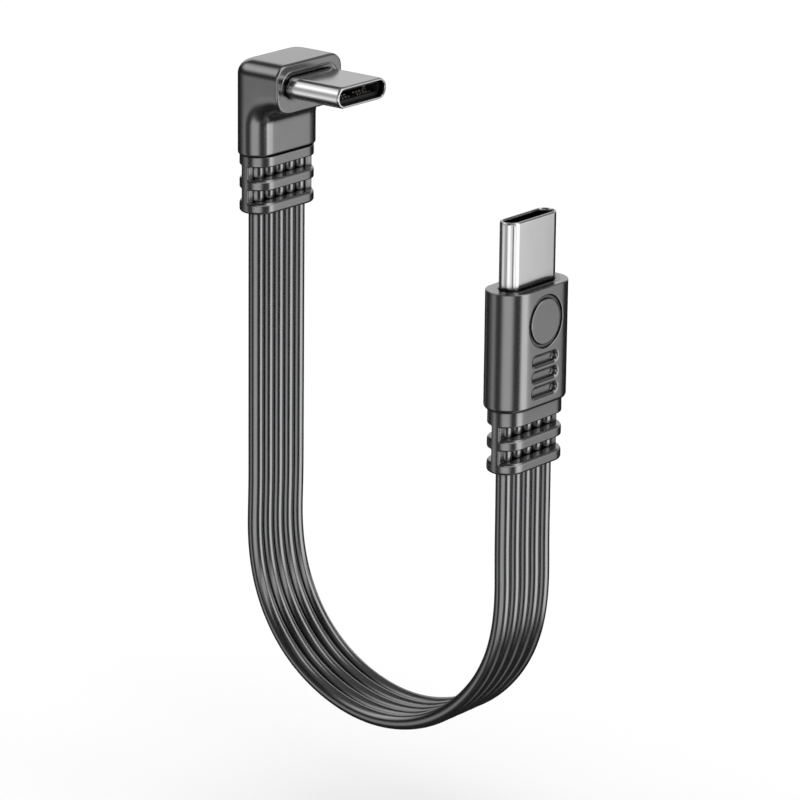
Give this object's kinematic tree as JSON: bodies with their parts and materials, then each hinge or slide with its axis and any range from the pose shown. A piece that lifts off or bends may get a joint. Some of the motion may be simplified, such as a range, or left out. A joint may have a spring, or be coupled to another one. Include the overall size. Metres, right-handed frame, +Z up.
{
  "type": "charging cable",
  "caption": "Very short flat ribbon charging cable, hanging as a U between a right-angle plug and a straight plug with oval metal shells.",
  "frame": {"origin": "centre of the angled plug's moulded front face, on the axis of its metal shell", "axes": "+X out of the angled plug's face along its shell, towards the straight plug; +Y across the width of the ribbon and of both plugs; +Z up, the way the straight plug's shell points"},
  "size_m": [0.0395, 0.0112, 0.0728],
  "materials": {
    "nickel_shell": "bright nickel plate, deep drawn",
    "insulator": "fine matt moulded",
    "gold_contact": "gold flash",
    "spring_steel": "stamped and satin",
    "board": "solder mask, satin",
    "chip": "matt moulded",
    "copper": "tinned in part",
    "inner_mould": "matt low-pressure moulding",
    "moulding": "gloss moulded gunmetal grey",
    "relief_moulding": "semi-gloss moulded",
    "ribbon": "semi-gloss extruded",
    "wire": "extruded insulation"
  },
  "bodies": {
    "root": {"angled_shell": "nickel_shell", "angled_carrier": "insulator", "angled_upper_contacts": "gold_contact", "angled_lower_contacts": "gold_contact", "angled_latch": "spring_steel", "angled_ground_springs": "spring_steel", "angled_shield_can": "spring_steel", "angled_board": "board", "angled_board_chips": "chip", "angled_wire_tips": "copper", "angled_inner_mould": "inner_mould", "angled_housing": "moulding", "angled_relief": "relief_moulding", "straight_shell": "nickel_shell", "straight_carrier": "insulator", "straight_upper_contacts": "gold_contact", "straight_lower_contacts": "gold_contact", "straight_latch": "spring_steel", "straight_ground_springs": "spring_steel", "straight_shield_can": "spring_steel", "straight_board": "board", "straight_board_chips": "chip", "straight_wire_tips": "copper", "straight_inner_mould": "inner_mould", "straight_housing": "moulding", "straight_relief": "relief_moulding", "ribbon_jacket": "ribbon", "wire_cores": "wire"}
  },
  "joints": []
}
